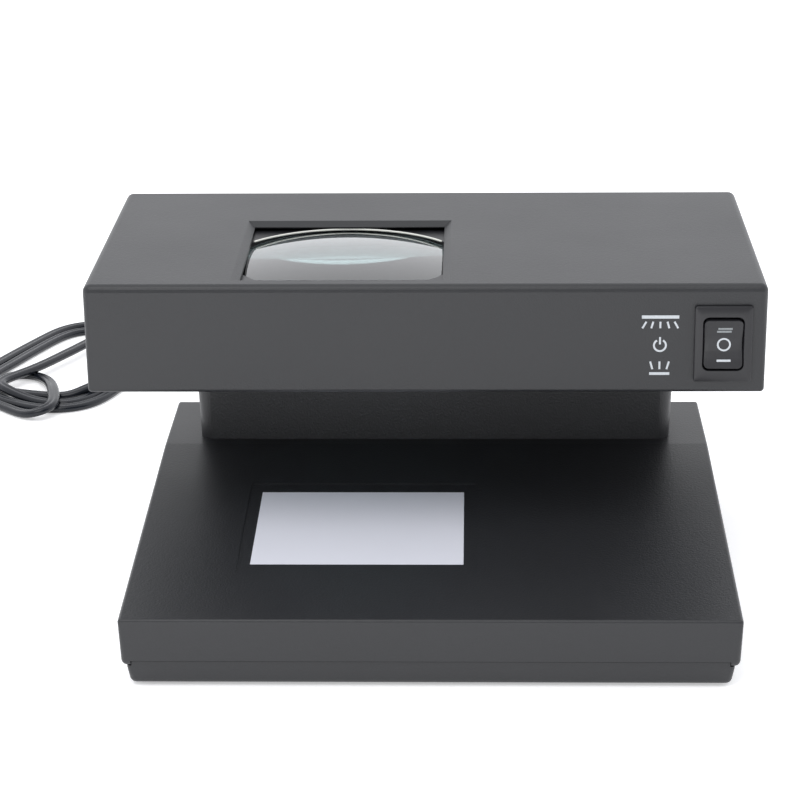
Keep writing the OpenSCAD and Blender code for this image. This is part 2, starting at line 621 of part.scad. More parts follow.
// Magnetic head whose pole face is flush with the right wall
module magnetic_pickup() color(steel) difference() {
    block([head_w / 2 - 13, 44, 106], [head_w / 2 - head_draft, 56, 116]);
    block([head_w / 2 - 1.3, 49.8, 107], [head_w / 2 + 1, 50.2, 115]);
}
module pickup_bracket() color(aluminium) difference() {
    union() {
        block([head_w / 2 - 14.6, 42, head_z + wall], [head_w / 2 - 13.2, 58, 118]);
        block([head_w / 2 - 14.6, 42, head_z + wall], [head_w / 2 - 4, 58, head_z + wall + 1.4]);
    }
    translate([head_w / 2 - 8, 50, head_z]) cylinder(d = clear_d, h = 8, $fn = 24);
}

// --- switch --------------------------------------------------------------------

module switch_body() color(black) translate([switch_x, head_front, switch_z]) difference() {
    union() {
        // bezel, bevelled towards its face
        rotate([90, 0, 0]) {
            linear_extrude(bezel_t * 0.55) centred_plan(bezel_w, bezel_h, 0.9);
            linear_extrude(bezel_t) centred_plan(bezel_w - 1.4, bezel_h - 1.4, 0.7);
        }
        block([-switch_body_w / 2, -0.1, -switch_body_h / 2],
              [switch_body_w / 2, switch_depth, switch_body_h / 2]);
        // snap wings that grip the wall from behind
        for (s = [-1, 1]) translate([0, 0, s * switch_body_h / 2])
            block([-4, wall + 0.2, -0.9], [4, wall + 6, 0.9]);
    }
    block([-rocker_w / 2 - 0.3, -4, -11.6], [rocker_w / 2 + 0.3, 9, 11.6]);
    block([-4, 8, -8], [4, switch_depth - 2, 8]);
    translate([-switch_body_w, rocker_pivot.y - head_front, 0]) rotate([0, 90, 0])
        cylinder(d = 2.3, h = 2 * switch_body_w, $fn = 32);
    for (k = [-1:1]) block([-2.5, switch_depth - 3, k * 7 - 0.5], [2.5, switch_depth + 1, k * 7 + 0.5]);
}

// Rocker: hollowed face, stub pins in the side walls, socket for the plunger
module rocker() color(black) translate(rocker_pivot) difference() {
    union() {
        rotate([90, 0, 90]) translate([0, 0, -rocker_w / 2]) linear_extrude(rocker_w) {
            h = rocker_h / 2;
            polygon([
                [-4.6, -h], [-5, -h + 0.5], [-4.3, -h * 0.6], [-3.8, -h * 0.25], [-3.7, 0],
                [-3.8, h * 0.25], [-4.3, h * 0.6], [-5, h - 0.5], [-4.6, h], [-1.4, h],
                [2.6, 4], [2.6, -4], [-1.4, -h]]);
        }
        rotate([0, 90, 0]) cylinder(d = 2.2, h = rocker_w + 2.6, center = true, $fn = 32);
        rotate([-90, 0, 0]) cylinder(d = 5, h = 6, $fn = 32);
    }
    rotate([-90, 0, 0]) translate([0, 0, -0.5]) cylinder(d = 2.9, h = 8, $fn = 32);
}

// Brass plunger that presses the contact blade over, and the close-wound spring behind it
module rocker_plunger() color(brass) translate(rocker_pivot) rotate([-90, 0, 0]) rotate_extrude($fn = 32)
    polygon([[0, 4.6], [1.3, 4.6], [1.3, 8.6], [1.1, 9.6], [0.6, 10.3], [0, 10.4]]);
module plunger_spring() color(steel) translate(rocker_pivot) rotate([-90, 0, 0])
    rotate_extrude($fn = 32) for (i = [0:9]) translate([1.1, 0.1 + i * 0.45]) circle(r = 0.25, $fn = 16);

// Seesaw contact that rocks on the middle terminal
module contact_blade() color(brass) translate(blade_pivot) {
    block([-1.8, -0.8, -6.6], [1.8, 0, 6.6]);
    for (s = [-1, 1]) translate([0, 0, s * 5.6]) rotate([-90, 0, 0]) cylinder(d = 2.4, h = 0.5, $fn = 24);
}

// Three blade terminals through the back of the switch; the middle one carries the seesaw
module switch_terminals() color(brass) for (k = [-1:1]) {
    tip = blade_pivot.y + (k == 0 ? 0.1 : 1.25);
    back = head_front + switch_depth;
    pad_z = switch_z + k * 6.3;
    blade_z = switch_z + k * 7;
    block([switch_x - 2.4, tip, pad_z - 1], [switch_x + 2.4, tip + 1, pad_z + 1]);
    block([switch_x - 2.4, tip + 0.5, blade_z - 0.4], [switch_x + 2.4, back + 8, blade_z + 0.4]);
}

module switch_wires() color("navy") for (k = [-1:1])
    swept([[switch_x, head_front + switch_depth + 8.2, switch_z + k * 7],
           [switch_x + k, head_front + switch_depth + 13, switch_z + k * 6],
           [switch_x - 2 + k * 2.4, 4, 108 + k * 3], [switch_x - 6 + k * 3, 10, 105.4],
           [103.5 + k * 2.3, 15, 104.4], [101 + k * 2.6, 20, 101.6]], 1.8, 1.8);

// --- mains lead ------------------------------------------------------------------

// Tapered relief of soft plastic with a collar inside the wall
module strain_relief() color(cord_grey) translate([exit_x, base_d / 2, exit_z])
    rotate([-90, 0, 0]) difference() {
    rotate_extrude($fn = 48) polygon([
        [0, -11], [5.6, -11], [5.6, -3.5], [4.4, -3.5], [4.4, 0.1], [5.4, 0.1], [5.4, 2], [4.6, 3],
        [3.3, relief_l], [0, relief_l]]);
    for (z = [6, 11, 16]) translate([0, 0, z]) difference() {
        cylinder(d = 12, h = 1.6, $fn = 48);
        cylinder(d = 6, h = 1.6, $fn = 48);
    }
}

module cord_lead() color(cord_grey) swept(lead_route, cord_w, cord_t);
module cord_tail() color(cord_grey) swept(tail_route, cord_w, cord_t);

// Outer shape of the loosely wound lead: an oval ring lying on the table
module cord_coil() color(cord_grey) translate([coil_centre.x, coil_centre.y, 0]) rotate(coil_turn)
    linear_extrude(coil_h) difference() {
        oval_outline(coil_short, coil_long);
        oval_outline(coil_short - 22, coil_long - 24);
    }
module oval_outline(a, b) polygon([for (k = [0:39]) [a * cos(k * 9), b * sin(k * 9)]]);

module plug_body() color(cord_grey) translate(plug_at) rotate([90, 0, 0]) {
    hull() {
        translate([0, 0, plug_l - 9]) linear_extrude(9) round_plan(-14.5, 14.5, -7, 7, 5);
        translate([0, 0, plug_l - 22]) linear_extrude(2) round_plan(-9, 9, -6, 6, 4.5);
        cylinder(d = 7.6, h = 3, $fn = 32);
    }
    translate([0, 0, -5]) cylinder(d1 = 6.4, d2 = 7.6, h = 5, $fn = 32);
}
module plug_pins() color(steel) for (s = [-1, 1])
    translate([plug_at.x + s * plug_pin_gap / 2, plug_at.y - plug_l, plug_at.z]) rotate([90, 0, 0])
        cylinder(d = plug_pin_d, h = plug_pin_l, $fn = 40);

// --- assembly --------------------------------------------------------------------

base_top_shell();
base_bottom_pan();
base_screws();
rubber_feet();
diffuser_panel();
backlight_reflector();
backlight_tube();
backlight_tube_caps();
backlight_holders();
base_circuit_board();
base_board_parts();
base_transformer();
board_screws();
terminal_block();
mains_wires();
neck_shell();
neck_screws();
rear_cover();
rear_cover_screws();
neck_loom();
head_top_shell();
head_bottom_plate();
head_screws();
lens();
lens_holder();
lens_screws();
uv_tube_front();
uv_tube_rear();
uv_tube_caps();
uv_reflectors();
uv_lamp_holders();
lamp_wires();
head_circuit_board();
head_board_parts();
buzzer();
magnetic_pickup();
pickup_bracket();
switch_body();
switch_terminals();
switch_wires();
rocker();
rocker_plunger();
plunger_spring();
contact_blade();
strain_relief();
cord_lead();
cord_coil();
cord_tail();
plug_body();
plug_pins();
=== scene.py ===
"""Looks for the counterfeit bill detector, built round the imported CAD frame. All lengths are in metres."""
import math

import bmesh
import bpy
import numpy as np
from mathutils import Matrix, Vector


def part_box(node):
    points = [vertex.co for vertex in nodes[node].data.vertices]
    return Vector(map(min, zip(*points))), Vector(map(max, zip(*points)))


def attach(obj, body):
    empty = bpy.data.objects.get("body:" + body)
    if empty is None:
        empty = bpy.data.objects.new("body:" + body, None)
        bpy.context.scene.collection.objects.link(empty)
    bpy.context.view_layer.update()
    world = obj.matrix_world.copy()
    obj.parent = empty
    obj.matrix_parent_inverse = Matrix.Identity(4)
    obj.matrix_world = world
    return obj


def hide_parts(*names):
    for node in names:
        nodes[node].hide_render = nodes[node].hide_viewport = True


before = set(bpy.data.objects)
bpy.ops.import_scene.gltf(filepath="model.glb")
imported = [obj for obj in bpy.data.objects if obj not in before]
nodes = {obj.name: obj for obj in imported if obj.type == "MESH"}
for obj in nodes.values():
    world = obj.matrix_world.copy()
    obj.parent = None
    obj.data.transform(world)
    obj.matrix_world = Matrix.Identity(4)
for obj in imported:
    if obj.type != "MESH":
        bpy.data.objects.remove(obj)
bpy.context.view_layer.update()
scene = bpy.context.scene
MM = 0.001

# ---------------------------------------------------------------- camera
YAW, PITCH, ROLL = 0.0304414527, 0.3372809275, 0.0105806925
SENSOR_MM = 36
FOCAL_MM = 117.0064035
EYE = Vector((0.0196338634, -0.9999681762, 0.4280488382))


def make_camera():
    """A long lens a metre in front of the detector, looking down on it by about 19 degrees."""
    forward = Vector((-math.sin(YAW) * math.cos(PITCH), math.cos(YAW) * math.cos(PITCH), -math.sin(PITCH)))
    right = Vector((math.cos(YAW), math.sin(YAW), 0))
    down = forward.cross(right)
    right_rolled = math.cos(ROLL) * right + math.sin(ROLL) * down
    down_rolled = -math.sin(ROLL) * right + math.cos(ROLL) * down
    cam = bpy.data.cameras.new("camera")
    cam.sensor_width = SENSOR_MM
    cam.lens = FOCAL_MM
    cam.clip_start = 0.05
    cam.clip_end = 20
    ob = bpy.data.objects.new("camera", cam)
    turn = Matrix((right_rolled, -down_rolled, -forward)).transposed()
    ob.matrix_world = Matrix.Translation(EYE) @ turn.to_4x4()
    scene.collection.objects.link(ob)
    scene.camera = ob


make_camera()


# ---------------------------------------------------------------- mesh helpers
def add_object(name, verts, faces, smooth=True):
    """A mesh object from its corners and faces, shaded smooth unless smooth is False."""
    mesh = bpy.data.meshes.new(name)
    mesh.from_pydata([tuple(v) for v in verts], [], faces)
    mesh.update()
    if smooth:
        mesh.polygons.foreach_set("use_smooth", [True] * len(mesh.polygons))
    ob = bpy.data.objects.new(name, mesh)
    scene.collection.objects.link(ob)
    return ob


def catmull(points, per_span=8):
    """A smooth curve through the points, in per_span steps from each to the next."""
    p = np.array(points, float)
    q = np.vstack([2 * p[0] - p[1], p, 2 * p[-1] - p[-2]])
    out = []
    for i in range(1, len(q) - 2):
        a, b, c, d = q[i - 1], q[i], q[i + 1], q[i + 2]
        for t in np.linspace(0, 1, per_span, endpoint=False):
            out.append(0.5 * (2 * b + (c - a) * t + (2 * a - 5 * b + 4 * c - d) * t * t
                              + (3 * b - a - 3 * c + d) * t ** 3))
    out.append(p[-1])
    return np.array(out)


def resample(p, step):
    """The same path in even steps."""
    s = np.r_[0, np.cumsum(np.linalg.norm(np.diff(p, axis=0), axis=1))]
    t = np.linspace(0, s[-1], int(round(s[-1] / step)) + 1)
    return np.stack([np.interp(t, s, p[:, k]) for k in range(3)], 1)


def relax(p, passes):
    """The path with each point drawn towards its neighbours, the two ends held."""
    p = p.copy()
    for _ in range(passes):
        p[1:-1] = 0.5 * p[1:-1] + 0.25 * (p[:-2] + p[2:])
    return p


# ---------------------------------------------------------------- cord
CORD_W = 6 * MM
CORD_T = 3.6 * MM
# the route in millimetres: down from the exit and behind the neck to the coil
LEAD = [(-60, 134.2, 20), (-60, 142, 19), (-60.5, 152, 16), (-61, 163, 11.5), (-62, 175, 6.8),
        (-63.5, 187, 3.4), (-66, 199, 2.0), (-70, 210, 1.8), (-76, 221, 1.8), (-85, 230, 1.8),
        (-97, 236, 1.8), (-110, 240, 1.8), (-124, 243, 2.2), (-136, 244, 4.0), (-147, 243, 5.6)]
# the lead comes in over the right ends of the turns and lies inside their near ends
COIL_IN = [(-156, 240, 5.6), (-163.5, 233.5, 5.6), (-170.5, 227.5, 5.8), (-176.5, 222.8, 4.2),
           (-182.5, 220.2, 2.0), (-189, 220.4, 1.8), (-195.5, 221.9, 1.8), (-201.5, 223.4, 1.8),
           (-207, 225.2, 1.8), (-213, 227, 1.8)]
SMALL_LOOP = [(-219.0, 231, 1.8), (-222.3, 239.5, 1.8), (-220.5, 249, 1.8), (-213.5, 255.3, 1.8),
              (-204.8, 253.0, 1.8), (-198.5, 244.5, 2.8), (-193.8, 232.5, 4.6), (-190.5, 220, 5.6),
              (-188.3, 208, 5.6), (-187.2, 197.5, 5.6), (-189.8, 191.2, 5.4), (-196, 190.2, 3.2),
              (-202, 194.2, 1.8)]
OUTER_TURN = [(-206.5, 199.0, 1.8), (-211, 203.2, 1.8), (-216, 208.5, 1.8), (-223, 215, 1.8),
              (-230, 223, 1.8), (-234.5, 234, 1.8), (-235, 247, 1.8), (-231.5, 261, 1.8),
              (-225.5, 277, 1.8), (-218.5, 294, 1.8), (-211, 311.5, 1.8), (-203, 328, 1.8),
              (-192, 337.5, 1.8), (-178, 337, 1.8), (-166, 328, 1.8),
              (-158, 313, 1.8), (-152.5, 296, 1.8), (-150.5, 279, 1.8), (-152, 262, 1.8), (-156, 246, 1.8),
              (-160.5, 232.5, 1.8), (-164.8, 219.8, 1.8), (-170.5, 209.8, 1.8), (-177, 204.5, 1.8),
              (-184.5, 202.2, 1.8), (-192, 202.2, 1.8)]
SECOND_TURN = [(-198.5, 204.0, 1.8), (-204.5, 207.4, 1.8), (-210.5, 212, 1.8), (-216.8, 217.6, 1.8),
               (-223, 224, 1.8), (-227.8, 233, 1.8), (-228.6, 244, 1.8), (-225.5, 257, 1.8), (-220, 271, 1.8),
               (-214, 287, 1.8), (-207.5, 303, 1.8), (-200.5, 318, 1.8), (-192, 327, 1.8), (-181, 327, 1.8),
               (-171, 318, 1.8), (-163.5, 304, 1.8), (-158.5, 289, 1.8), (-157, 274, 1.8), (-159, 259, 1.8),
               (-163, 245, 1.8), (-167, 233, 1.8), (-171, 222, 1.8), (-176, 213.5, 1.8), (-182, 209.6, 1.8),
               (-188.5, 209.4, 1.8), (-194.5, 211.6, 1.8)]
# straight across on top, round the far right and out of the coil
CROSSING = [(-200.5, 214.4, 2.0), (-206.5, 217.2, 3.2), (-213, 221, 5.2), (-218.5, 226, 5.6),
            (-219.5, 232.5, 5.6), (-215, 239, 5.6), (-208, 248.5, 5.6), (-201, 260, 5.6),
            (-194.5, 273, 5.6), (-188, 286, 5.6),
            (-182, 299, 5.6), (-175, 310, 5.6), (-166, 316, 5.6), (-157, 315.8, 5.8), (-149.5, 311, 5.2)]
TAIL = [(-144, 304, 3.0), (-139.5, 297.5, 1.8), (-134, 289, 1.8), (-126, 279, 1.8), (-115, 270, 1.8),
        (-101, 262.5, 1.8), (-87, 256.5, 1.8), (-72, 251, 1.8), (-56, 245, 1.8), (-42, 237.5, 1.9),
        (-29, 228, 3), (-19, 217.5, 5), (-13.5, 206, 6.6), (-12, 195.5, 7)]


def sweep(name, path, section, end_scale=0.8):
    """A closed tube of section (x across, y up) along path, level side to side, with softly domed ends."""
    upright = 0.25
    dome, dome_tip = 0.25 * MM, 0.1 * MM
    n = len(path)
    verts, faces = [], []
    tangents = np.gradient(path, axis=0)
    tangents /= np.linalg.norm(tangents, axis=1)[:, None]
    last = None
    for i in range(n):
        t = tangents[i]
        side = np.cross(t, (0, 0, 1.0))
        size = np.linalg.norm(side)
        side = side / size if size > upright else last
        if last is not None and np.dot(side, last) < 0:
            side = -side
        last = side
        up = np.cross(side, t)
        for x, y in section:
            verts.append(path[i] + side * x + up * y)
    m = len(section)
    for i in range(n - 1):
        for k in range(m):
            a, b = i * m + k, i * m + (k + 1) % m
            faces.append((a, b, b + m, a + m))
    for ring, sign in ((0, -1), (n - 1, 1)):
        centre = path[ring] + tangents[ring] * sign * dome
        inner = []
        for k in range(m):
            v = verts[ring * m + k]
            inner.append(len(verts))
            verts.append(centre + (v - path[ring]) * end_scale)
        tip = len(verts)
        verts.append(centre + tangents[ring] * sign * dome_tip)
        for k in range(m):
            a, b = ring * m + k, ring * m + (k + 1) % m
            c, d = inner[(k + 1) % m], inner[k]
            faces.append((b, a, d, c) if sign < 0 else (a, b, c, d))
            faces.append((c, d, tip) if sign < 0 else (d, c, tip))
    return add_object(name, verts, faces)


def twin_section(width, thick, points=14):
    """The outline of a two-core flat flex: two round lobes with a groove between them."""
    r = thick / 2
    c = width / 2 - r
    groove = 0.12
    end = math.pi - math.acos(min(1, c / r)) - groove
    right = [(c + r * math.cos(a), r * math.sin(a)) for a in np.linspace(-end, end, points)]
    return right + [(-x, -y) for x, y in right]


route = np.array(LEAD + COIL_IN + SMALL_LOOP + OUTER_TURN + SECOND_TURN + CROSSING + TAIL) * MM
cord_path = relax(resample(catmull(route), step=2 * MM), passes=14)
cord = sweep("mains_cord", cord_path, twin_section(CORD_W, CORD_T))
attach(cord, "root")
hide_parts("cord_lead", "cord_coil", "cord_tail")


# ---------------------------------------------------------------- materials
DRIFT_STOPS = (0.3, 0.7)


def ramp(tree, low, high, stops):
    """A colour ramp from low to high between the two stops."""
    r = tree.nodes.new("ShaderNodeValToRGB")
    r.color_ramp.elements[0].position = stops[0]
    r.color_ramp.elements[1].position = stops[1]
    r.color_ramp.elements[0].color = (*low, 1)
    r.color_ramp.elements[1].color = (*high, 1)
    return r


def noise(tree, scale, detail, rough):
    n = tree.nodes.new("ShaderNodeTexNoise")
    n.inputs["Scale"].default_value = scale
    n.inputs["Detail"].default_value = detail
    n.inputs["Roughness"].default_value = rough
    return n


def surface(name, colour, rough, spread=0.12, patch=35.0, rough_spread=0.06, grain=1600.0, grain_height=0.02,
            metallic=0.0, ior=1.5, coat=0.0, coat_rough=0.1, coat_ior=1.5, transmission=0.0, stretch=None,
            emission=0.0, specular=0.5):
    """A procedural finish: colour and roughness drift in soft patches, under a fine grain (height in mm)."""
    mat = bpy.data.materials.new(name)
    mat.use_nodes = True
    t = mat.node_tree
    bsdf = t.nodes["Principled BSDF"]
    coords = t.nodes.new("ShaderNodeTexCoord")
    source = coords.outputs["Object"]
    if stretch:
        mapping = t.nodes.new("ShaderNodeMapping")
        mapping.inputs["Scale"].default_value = stretch
        t.links.new(source, mapping.inputs["Vector"])
        source = mapping.outputs["Vector"]
    drift = noise(t, patch, 4.0, 0.55)
    t.links.new(source, drift.inputs["Vector"])
    low = tuple(c * (1 - spread) for c in colour)
    high = tuple(min(1, c * (1 + spread)) for c in colour)
    tint = ramp(t, low, high, DRIFT_STOPS)
    t.links.new(drift.outputs["Fac"], tint.inputs["Fac"])
    t.links.new(tint.outputs["Color"], bsdf.inputs["Base Color"])
    fine = noise(t, grain, 2.0, 0.6)
    t.links.new(source, fine.inputs["Vector"])
    gloss = t.nodes.new("ShaderNodeMapRange")
    limits = (("From Min", DRIFT_STOPS[0]), ("From Max", DRIFT_STOPS[1]),
              ("To Min", max(0.02, rough - rough_spread)), ("To Max", min(1.0, rough + rough_spread)))
    for key, value in limits:
        gloss.inputs[key].default_value = value
    t.links.new(drift.outputs["Fac"], gloss.inputs["Value"])
    t.links.new(gloss.outputs["Result"], bsdf.inputs["Roughness"])
    if grain_height:
        bump = t.nodes.new("ShaderNodeBump")
        bump.inputs["Strength"].default_value = 1.0
        bump.inputs["Distance"].default_value = grain_height * MM
        t.links.new(fine.outputs["Fac"], bump.inputs["Height"])
        t.links.new(bump.outputs["Normal"], bsdf.inputs["Normal"])
    bsdf.inputs["Metallic"].default_value = metallic
    bsdf.inputs["IOR"].default_value = ior
    bsdf.inputs["Specular IOR Level"].default_value = specular
    bsdf.inputs["Coat Weight"].default_value = coat
    bsdf.inputs["Coat Roughness"].default_value = coat_rough
    bsdf.inputs["Coat IOR"].default_value = coat_ior
    bsdf.inputs["Transmission Weight"].default_value = transmission
    if emission:
        t.links.new(tint.outputs["Color"], bsdf.inputs["Emission Color"])
        bsdf.inputs["Emission Strength"].default_value = emission
    return mat


FINISH = {
    "charcoal_moulding": surface("charcoal_moulding", (0.0182, 0.0190, 0.0212), 0.40, spread=0.05, patch=14,
                                 rough_spread=0.02, grain=1100, grain_height=0.11),
    "black_moulding": surface("black_moulding", (0.0120, 0.0120, 0.0145), 0.36, spread=0.06, patch=40,
                              rough_spread=0.03, grain=1300, grain_height=0.012),
    "steel": surface("steel", (0.6, 0.6, 0.62), 0.32, metallic=1.0, grain=2500, grain_height=0.01,
                     stretch=(1, 1, 6)),
    "rubber": surface("rubber", (0.016, 0.016, 0.017), 0.78, grain=1400, grain_height=0.04),
    "opal_panel": surface("opal_panel", (0.80, 0.81, 0.88), 0.3, spread=0.008, patch=18, rough_spread=0.01,
                          grain=2600, grain_height=0.003, coat=0.2, coat_rough=0.15),
    "aluminium_sheet": surface("aluminium_sheet", (0.30, 0.31, 0.32), 0.5, metallic=1.0, grain=900,
                               grain_height=0.006, stretch=(0.15, 1, 1)),
    "tube_caps": surface("tube_caps", (0.72, 0.73, 0.75), 0.34, metallic=1.0, grain=1800, grain_height=0.008),
    "white_tube": surface("white_tube", (0.86, 0.87, 0.88), 0.18, spread=0.02, grain=600, grain_height=0.0,
                          coat=0.6, coat_rough=0.05),
    "uv_tube": surface("uv_tube", (0.42, 0.40, 0.60), 0.16, spread=0.04, grain=600, grain_height=0.0,
                       coat=0.7, coat_rough=0.04),
    "white_moulding": surface("white_moulding", (0.76, 0.76, 0.72), 0.42, spread=0.03, grain=1100,
                              grain_height=0.012),
    "circuit_board": surface("circuit_board", (0.03, 0.16, 0.07), 0.3, spread=0.25, patch=160, grain=500,
                             grain_height=0.015, coat=0.4),
    "components": surface("components", (0.05, 0.055, 0.08), 0.4, spread=0.3, patch=60, grain=900,
                          grain_height=0.012),
    "ferrite": surface("ferrite", (0.07, 0.065, 0.065), 0.6, spread=0.2, patch=220, grain=1200,
                       grain_height=0.03),
    "wire_brown": surface("wire_brown", (0.16, 0.06, 0.03), 0.4, grain=900, grain_height=0.008),
    "wire_sleeve": surface("wire_sleeve", (0.02, 0.02, 0.022), 0.5, grain=900, grain_height=0.02),
    "wire_red": surface("wire_red", (0.45, 0.02, 0.02), 0.38, grain=900, grain_height=0.008),
    "wire_blue": surface("wire_blue", (0.02, 0.05, 0.34), 0.38, grain=900, grain_height=0.008),
    "brass": surface("brass", (0.75, 0.53, 0.22), 0.3, metallic=1.0, grain=1500, grain_height=0.008),
    "cord_pvc": surface("cord_pvc", (0.0085, 0.0105, 0.0150), 0.22, spread=0.12, patch=60, grain=700,
                        grain_height=0.006, specular=0.40),
}
FINISH["lens_glass"] = surface("lens_glass", (0.40, 0.56, 0.56), 0.03, spread=0.01, rough_spread=0.01,
                               grain_height=0.0, transmission=1.0, ior=1.55, coat=0.75, coat_rough=0.03,
                               coat_ior=1.6)

for node in nodes.values():
    for slot in node.material_slots:
        key = slot.material.name.split(".")[0] if slot.material else "charcoal_moulding"
        slot.material = FINISH.get(key, FINISH["charcoal_moulding"])
cord.data.materials.append(FINISH["cord_pvc"])


# ---------------------------------------------------------------- pieces
CREASE = 35


def finish_piece(ob, body, slot, *replaced, material=None):
    """Give a piece its material (the slot's finish unless a material is given) and its body, and hide the CAD
    nodes that it stands for.
    """
    ob.data.materials.append(FINISH[slot] if material is None else material)
    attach(ob, body)
    if replaced:
        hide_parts(*replaced)


def rounded_loop(w, h, r, steps=6):
    """Corner points of a rounded rectangle, counter-clockwise, in its own plane."""
    r = min(r, w / 2 - 1e-6, h / 2 - 1e-6)
    out = []
    for cx, cy, start in ((w / 2 - r, h / 2 - r, 0), (-w / 2 + r, h / 2 - r, 90),
                          (-w / 2 + r, -h / 2 + r, 180), (w / 2 - r, -h / 2 + r, 270)):
        for k in range(steps + 1):
            a = math.radians(start + 90 * k / steps)
            out.append((cx + r * math.cos(a), cy + r * math.sin(a)))
    return out


def loft(name, loops):
    """Skin through loops of equally many 3-D points, closed at both ends by a flat face."""
    verts = [v for loop in loops for v in loop]
    m = len(loops[0])
    faces = []
    for i in range(len(loops) - 1):
        for k in range(m):
            a, b = i * m + k, i * m + (k + 1) % m
            faces.append((a, b, b + m, a + m))
    faces.append(tuple(reversed(range(m))))
    faces.append(tuple(range((len(loops) - 1) * m, len(loops) * m)))
    ob = add_object(name, verts, faces)
    mark_sharp(ob)
    return ob


def mark_sharp(ob):
    """Smooth shading everywhere but over edges sharper than CREASE degrees."""
    bm = bmesh.new()
    bm.from_mesh(ob.data)
    bmesh.ops.recalc_face_normals(bm, faces=bm.faces)
    limit = math.radians(CREASE)
    for e in bm.edges:
        e.smooth = not (len(e.link_faces) == 2 and e.calc_face_angle(0) > limit)
    bm.to_mesh(ob.data)
    bm.free()


def revolve(name, profile, centre, steps=160):
    """Solid of revolution about a vertical axis; profile is (radius, height) from axis to axis."""
    verts, faces, rings = [], [], []
    for r, z in profile:
        if r < 1e-9:
            rings.append([len(verts)])
            verts.append((centre[0], centre[1], centre[2] + z))
        else:
            rings.append(list(range(len(verts), len(verts) + steps)))
            for k in range(steps):
                a = 2 * math.pi * k / steps
                verts.append((centre[0] + r * math.cos(a), centre[1] + r * math.sin(a), centre[2] + z))
    for one, two in zip(rings, rings[1:]):
        for k in range(steps):
            n = (k + 1) % steps
            if len(one) == 1:
                faces.append((one[0], two[k], two[n]))
            elif len(two) == 1:
                faces.append((one[k], two[0], one[n]))
            else:
                faces.append((one[k], two[k], two[n], one[n]))
    ob = add_object(name, verts, faces)
    mark_sharp(ob)
    return ob


# magnifying lens: a deeply crowned upper face, a shallower lower one, and a fine bright bead along its far
# rim, which is a painted highlight standing in for the light caught on the rim
lens_low, lens_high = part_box("lens")
lens_mid = (lens_low + lens_high) / 2
LENS_R = (lens_high.x - lens_low.x) / 2
LENS_EDGE = 3 * MM
TOP_SAG = 4.5 * MM
UNDER_SAG = 1.4 * MM
RIM_STEP = 0.3 * MM
RIM_CHAMFER = 0.25 * MM


def lens_profile():
    """(radius, height) from the middle of the upper face round the rim to the middle of the lower face."""
    steps = 40
    half = LENS_EDGE / 2
    ball = (LENS_R ** 2 + TOP_SAG ** 2) / (2 * TOP_SAG)
    limit = math.asin((LENS_R - RIM_STEP) / ball)
    turns = [limit * i / steps for i in range(steps + 1)]
    top = [(ball * math.sin(a), half + TOP_SAG - ball * (1 - math.cos(a))) for a in turns]
    edge = [(LENS_R, half - RIM_CHAMFER), (LENS_R, RIM_CHAMFER - half)]
    under = [(r, -half - (z - half) * UNDER_SAG / TOP_SAG) for r, z in reversed(top)]
    return top + edge + under


lens_piece = revolve("magnifier", lens_profile(), lens_mid)
finish_piece(lens_piece, "root", "lens_glass", "lens")

BEAD_R = 49.9 * MM
BEAD_Y = 9.3 * MM
BEAD_Z = 132.8 * MM
BEAD_T = 0.42 * MM
BEAD_TURN = 0.89
bead_route = [(lens_mid.x + BEAD_R * math.sin(a), BEAD_Y + BEAD_R * math.cos(a), BEAD_Z)
              for a in np.linspace(-BEAD_TURN, BEAD_TURN, 90)]
bead_section = [(BEAD_T * math.cos(a), BEAD_T * math.sin(a))
                for a in np.linspace(0, 2 * math.pi, 12, endpoint=False)]
rim_highlight_bead = sweep("magnifier_rim_highlight", np.array(bead_route), bead_section, end_scale=0.6)
# the bead's near-white colour is a painted highlight: a bright arc where the far rim of the lens catches the
# light
RIM_HIGHLIGHT_WHITE = surface("rim_highlight_white", (0.80, 0.80, 0.74), 0.4, spread=0.03, grain=2600,
                       grain_height=0.01, coat=0.3)
finish_piece(rim_highlight_bead, "root", "lens_glass", material=RIM_HIGHLIGHT_WHITE)

# rocker switch: case with a bevelled bezel, and a bowed rocker
case_low, case_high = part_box("switch_body")
SWITCH_X = (case_low.x + case_high.x) / 2
SWITCH_Z = (case_low.z + case_high.z) / 2
BEZEL_T = 1.6
FACE_Y = case_low.y + BEZEL_T * MM
BODY = (18.8, 27.8)
BEZEL = (22.5, 30.8)
FLARE = (16.3, 22.0)
OPENING = (15.45, 21.2)
WELL = (8, 16)


def switch_loop(size, inset, radius, depth):
    """A rounded outline of the size less inset, in mm, this deep behind the head's front face."""
    outline = rounded_loop(size[0] - inset, size[1] - inset, radius)
    return [(SWITCH_X + x * MM, FACE_Y + depth * MM, SWITCH_Z + z * MM) for x, z in outline]


bezel = loft("switch_case", [
    switch_loop(BODY, 0, 0.8, 22),
    switch_loop(BODY, 0, 0.8, 0.02),
    switch_loop(BEZEL, 0, 0.9, 0.02),
    switch_loop(BEZEL, 0, 0.9, -1.15),
    switch_loop(BEZEL, 0.2, 0.85, -1.4),
    switch_loop(BEZEL, 0.8, 0.7, -BEZEL_T),
    switch_loop(FLARE, 0, 2.6, -BEZEL_T),
    switch_loop(FLARE, 0.5, 2.2, -1.35),
    switch_loop(OPENING, 0, 1.9, -0.8),
    switch_loop(OPENING, 0, 1.7, 8.9),
    switch_loop(WELL, 0, 1.0, 8.9),
    switch_loop(WELL, 0, 1.0, 19)])
finish_piece(bezel, "root", "black_moulding", "switch_body")

PIVOT = Vector((SWITCH_X, FACE_Y + 2.5 * MM, SWITCH_Z))
ROCKER_W = 15.1
ROCKER_TOP = 9.7
# the face's profile: height from the pivot, and how far the face stands from it
ROCKER_FACE = [(-10.0, -5.0), (-6.3, -4.3), (-2.63, -3.8), (0, -3.7), (2.63, -3.8), (6.3, -4.3), (10.0, -5.0)]
# the rocker's rounded ends: distance in from the end, and how much smaller the outline is there
ROCKER_ENDS = [(0, 1.9), (0.15, 1.3), (0.5, 0.7), (0.95, 0.28), (1.5, 0.06), (2.0, 0)]


